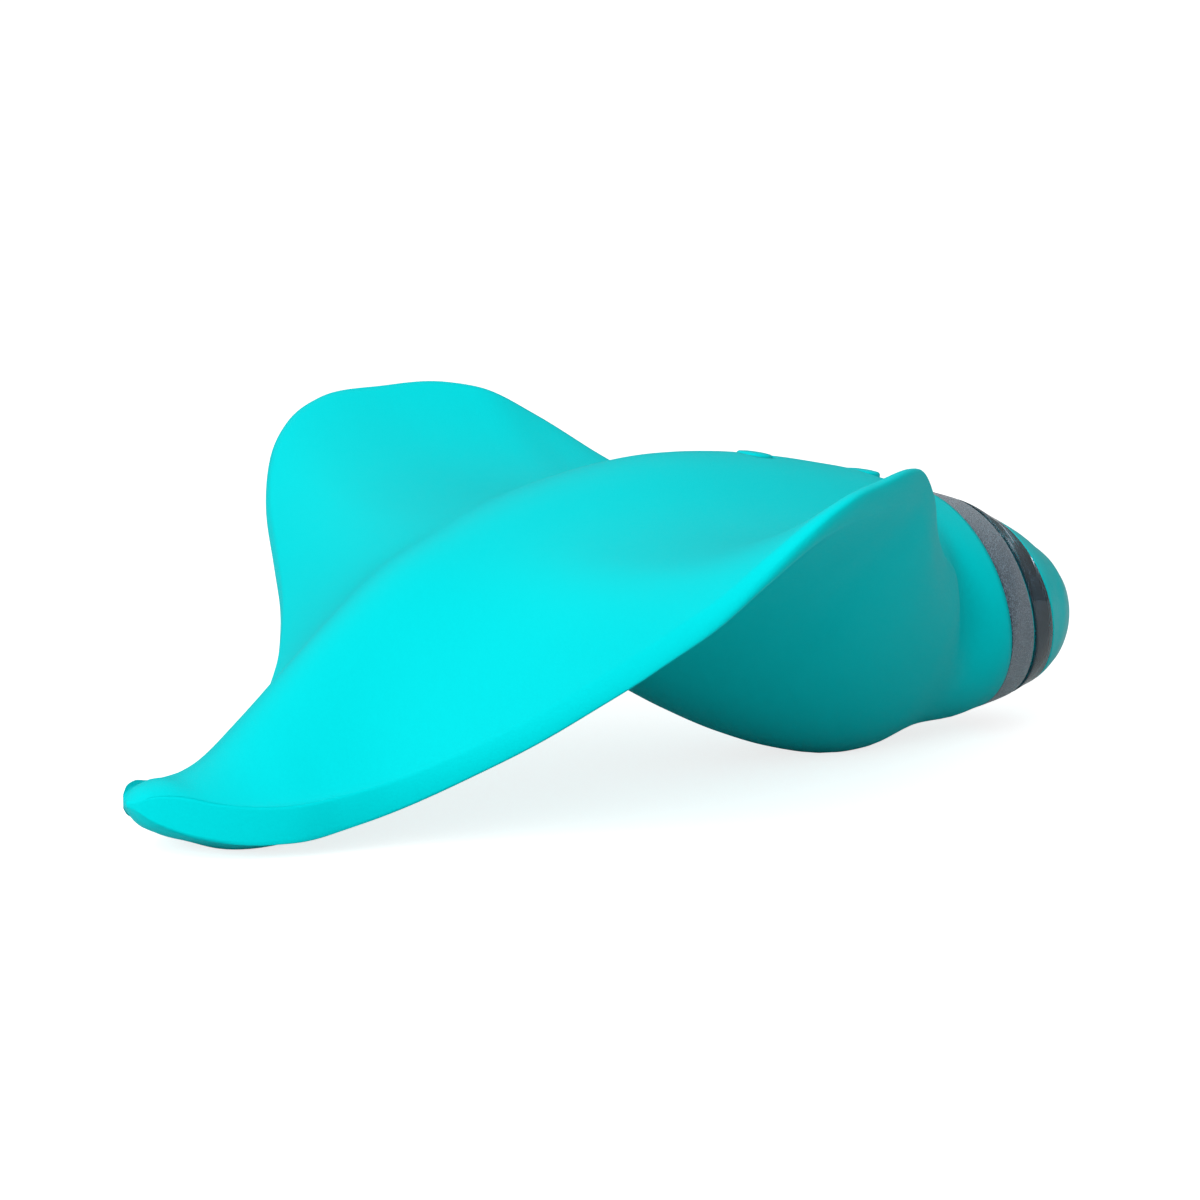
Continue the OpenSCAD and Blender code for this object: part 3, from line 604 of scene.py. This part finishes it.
# ==== Charging end ====
# A domed cap moulded in the same teal, pushed on the tie tube against the smoked ring.
# Its small flat end carries two gold contacts, with two magnets behind it for the charging dock.
TAIL_END = 29.3
PIN_Y = 2.4
PIN_R = 0.9
CAP_BORE_END = 24.5
DOCK_FACE = 27.3
POCKET_R = 5
POCKET_FROM = 20
PIN_HOLE_FROM = 23
CAP_EDGE = 0.3
CAP_TURN = 27
END_CURVE = [(7.7, 27.45), (7.15, 27.95), (6.55, 28.45), (5.95, 28.85), (5.3, 29.15), (4.6, TAIL_END)]


def cap_ring(s0, lean, inset=0.0):
    return turned_ring(grown(TAIL_R, -inset), s0, lean, ring_angles)


cap_rings = [turned_ring(straight(TIE_R), CAP_BORE_END, 0, ring_angles),
             turned_ring(straight(TIE_R), CAP_AT, PLANE_LEAN, ring_angles)]
for a in np.radians([0, 22.5, 45, 67.5, 90]):
    cap_rings.append(
        cap_ring(CAP_AT + CAP_EDGE * (1 - math.cos(a)), PLANE_LEAN, CAP_EDGE * (1 - math.sin(a))))
for w in np.arange(1, 13) / 12:
    upright = PLANE_LEAN * (1 - ease(w))
    cap_rings.append(cap_ring(CAP_AT + CAP_EDGE + w * (CAP_TURN - CAP_AT - CAP_EDGE), upright))
for r, s in END_CURVE:
    cap_rings.append(turned_ring(straight(r), s, 0, ring_angles))
cap_rings.append(turned_ring(straight(0.01), TAIL_END, 0, ring_angles))
end_cap = loft("end_cap_dome", cap_rings)
for side in (-1, 1):
    hole = round_bar("pin_hole", PIN_R, 8, 48)
    hole.matrix_world = core_matrix(PIN_HOLE_FROM, 0, side * PIN_Y) @ Matrix.Rotation(math.pi / 2, 4, "Y")
    cut(end_cap, hole)
pocket = round_bar("dock_pocket", POCKET_R, DOCK_FACE - POCKET_FROM)
pocket.matrix_world = core_matrix(POCKET_FROM, 0) @ Matrix.Rotation(math.pi / 2, 4, "Y")
cut(end_cap, pocket)
teal_cap = grained_material("teal_cap", (0.0, 0.68, 0.71), (0.0, 0.65, 0.68), 0.0008, (0.3, 0.38), 0.0,
                            Specular_IOR_Level=0.4, Specular_Tint=(0.3, 1, 1, 1))
end_cap.data.materials.append(teal_cap)
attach(end_cap, "body")
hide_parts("end_cap")


def finish_node(material, *node_names):
    """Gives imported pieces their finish."""
    for node_name in node_names:
        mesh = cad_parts[node_name].data
        mesh.materials.clear()
        mesh.materials.append(material)
        mesh.update()


lines, lines_in, lines_out = group(
    "drawn_lines",
    {"Line Width": (FLOAT, 0.0002), "Colour": (COLOUR, (0.5, 0.5, 0.5, 1)),
     "Shade": (COLOUR, (0.4, 0.4, 0.4, 1)), "Rough Low": (FLOAT, 0.2), "Rough High": (FLOAT, 0.4)},
    {"Colour": COLOUR, "Roughness": FLOAT, "Height": FLOAT},
)
where = node(lines, "ShaderNodeTexCoord").outputs["Object"]
per_width = node(lines, "ShaderNodeMath", [(0, 1.0), (1, lines_in.outputs["Line Width"])], operation="DIVIDE")
stretch = node(lines, "ShaderNodeVectorMath", [(0, where), (1, (0.04, 1, 1))], operation="MULTIPLY")
streaks = node(lines, "ShaderNodeTexNoise", [("Vector", stretch.outputs[0]), ("Scale", per_width.outputs[0])])
tint = node(lines, "ShaderNodeMix", [
    ("Factor", streaks.outputs["Fac"]), (6, lines_in.outputs["Colour"]), (7, lines_in.outputs["Shade"])],
    data_type="RGBA")
dull = node(lines, "ShaderNodeMapRange", [
    ("Value", streaks.outputs["Fac"]), ("From Min", 0.3), ("From Max", 0.7),
    ("To Min", lines_in.outputs["Rough Low"]), ("To Max", lines_in.outputs["Rough High"])])
lines.links.new(tint.outputs[2], lines_out.inputs["Colour"])
lines.links.new(dull.outputs["Result"], lines_out.inputs["Roughness"])
lines.links.new(streaks.outputs["Fac"], lines_out.inputs["Height"])


def lined_material(name, colour, shade, width, rough, relief, **sockets):
    """A drawn, brushed or wound material with fine lines along the handle."""
    material, tree, shader = new_material(name, **sockets)
    made = place_group(tree, lines, Line_Width=width, Rough_Low=rough[0], Rough_High=rough[1],
                       Colour=(*colour, 1), Shade=(*shade, 1))
    tree.links.new(made.outputs["Colour"], shader.inputs["Base Color"])
    tree.links.new(made.outputs["Roughness"], shader.inputs["Roughness"])
    bump(tree, shader, made.outputs["Height"], relief, 0.0001)
    return material


gold_plate = lined_material("gold_plate", (0.86, 0.62, 0.24), (0.78, 0.54, 0.2), 0.0001, (0.12, 0.22), 0.05,
                            Metallic=1.0)
nickel_plate = lined_material("nickel_plate", (0.72, 0.71, 0.68), (0.62, 0.61, 0.58), 0.0002,
                              (0.15, 0.28), 0.05, Metallic=1.0)
black_rubber = grained_material("black_rubber", (0.02, 0.02, 0.022), (0.03, 0.03, 0.032), 0.0003,
                                (0.6, 0.75), 0.2)
finish_node(gold_plate, "contact_pins")
finish_node(nickel_plate, "dock_magnets")
finish_node(black_rubber, "cap_seal")

# ==== Chassis ====
# Two half shells moulded in white ABS close round the works and are screwed together from below.
# The tie tube on their neck is moulded in black, so that it doesn't light up behind the clear ring.
white_abs = grained_material("white_abs", (0.80, 0.80, 0.77), (0.75, 0.75, 0.72), 0.0005, (0.4, 0.55), 0.12)
black_plastic = grained_material("black_plastic", (0.012, 0.014, 0.017), (0.02, 0.022, 0.026), 0.0004,
                                 (0.35, 0.5), 0.1)
zinc_steel = lined_material("zinc_steel", (0.60, 0.61, 0.63), (0.48, 0.49, 0.5), 0.0002, (0.22, 0.4), 0.08,
                            Metallic=1.0)
finish_node(white_abs, "chassis_upper", "chassis_lower")
finish_node(black_plastic, "tie_tube")
finish_node(zinc_steel, "chassis_screws")

# ==== Motor ====
# A small brushed motor in a zinc-plated can sits in a rubber boot between two ribs of the chassis.
# Its shaft carries a sintered half-round weight ahead of the can, which makes the body vibrate.
ferrite = grained_material("ferrite", (0.07, 0.07, 0.075), (0.11, 0.11, 0.115), 0.0003, (0.6, 0.8), 0.25)
tungsten = grained_material("tungsten", (0.36, 0.36, 0.37), (0.28, 0.28, 0.29), 0.0002, (0.35, 0.5), 0.15,
                            Metallic=1.0)
copper_winding = lined_material("copper_winding", (0.55, 0.22, 0.09), (0.36, 0.13, 0.05), 0.0003,
                                (0.25, 0.4), 0.5, Metallic=0.7)
red_wire = grained_material("red_wire", (0.5, 0.03, 0.025), (0.42, 0.025, 0.02), 0.0006, (0.4, 0.5), 0.05)
finish_node(zinc_steel, "motor_can", "motor_shaft")
finish_node(ferrite, "motor_magnets")
finish_node(white_abs, "motor_end_bell")
finish_node(black_rubber, "motor_boot")
finish_node(copper_winding, "motor_armature")
finish_node(tungsten, "eccentric_weight")
finish_node(gold_plate, "motor_terminals")
finish_node(red_wire, "motor_leads")

# ==== Battery ====
# One round lithium cell in a shrink sleeve lies in the cradle of the lower shell, under foam.
# Spot-welded tabs at its ends take the two black leads up to the circuit board.
battery_sleeve = grained_material("battery_sleeve", (0.04, 0.26, 0.15), (0.03, 0.22, 0.12), 0.003,
                                  (0.18, 0.3), 0.1, Coat_Weight=0.4, Coat_Roughness=0.1)
black_wire = grained_material("black_wire", (0.015, 0.015, 0.016), (0.025, 0.025, 0.026), 0.0006,
                              (0.4, 0.5), 0.05)
finish_node(battery_sleeve, "battery_cell")
finish_node(zinc_steel, "battery_tabs")
finish_node(black_rubber, "battery_foam")
finish_node(black_wire, "battery_leads")

# ==== Circuit boards ====
# The main board is screwed under the upper shell and carries the chips and the two push switches.
# A slanted ring board with six white LEDs lights the frosted ring; a disc board takes the contacts.
TRACK_PITCH = 0.0016
green_board, tree, shader = new_material("green_board", Coat_Weight=0.3, Coat_Roughness=0.15)
where = node(tree, "ShaderNodeTexCoord").outputs["Object"]
tracks = node(tree, "ShaderNodeTexBrick", [
    ("Vector", where), ("Scale", 1 / TRACK_PITCH), ("Mortar Size", 0.06), ("Mortar Smooth", 0.2),
    ("Color1", (0.008, 0.10, 0.035, 1)), ("Color2", (0.010, 0.12, 0.045, 1)),
    ("Mortar", (0.03, 0.24, 0.09, 1))])
glaze = node(tree, "ShaderNodeMapRange", [
    ("Value", tracks.outputs["Fac"]), ("To Min", 0.38), ("To Max", 0.28)])
tree.links.new(tracks.outputs["Color"], shader.inputs["Base Color"])
tree.links.new(glaze.outputs["Result"], shader.inputs["Roughness"])
bump(tree, shader, tracks.outputs["Fac"], 0.3, 0.00005)
led_lens = grained_material("led_lens", (0.9, 0.9, 0.84), (0.84, 0.84, 0.78), 0.0004, (0.15, 0.25), 0.05,
                            Coat_Weight=0.5)
blue_wire = grained_material("blue_wire", (0.03, 0.08, 0.42), (0.025, 0.07, 0.36), 0.0006, (0.4, 0.5), 0.05)
finish_node(green_board, "main_board", "led_board", "contact_board")
finish_node(black_plastic, "board_chips", "power_switch", "mode_switch")
finish_node(white_abs, "power_plunger", "mode_plunger")
finish_node(zinc_steel, "board_screws")
finish_node(led_lens, "leds")
finish_node(blue_wire, "led_leads")
finish_node(red_wire, "charge_leads")
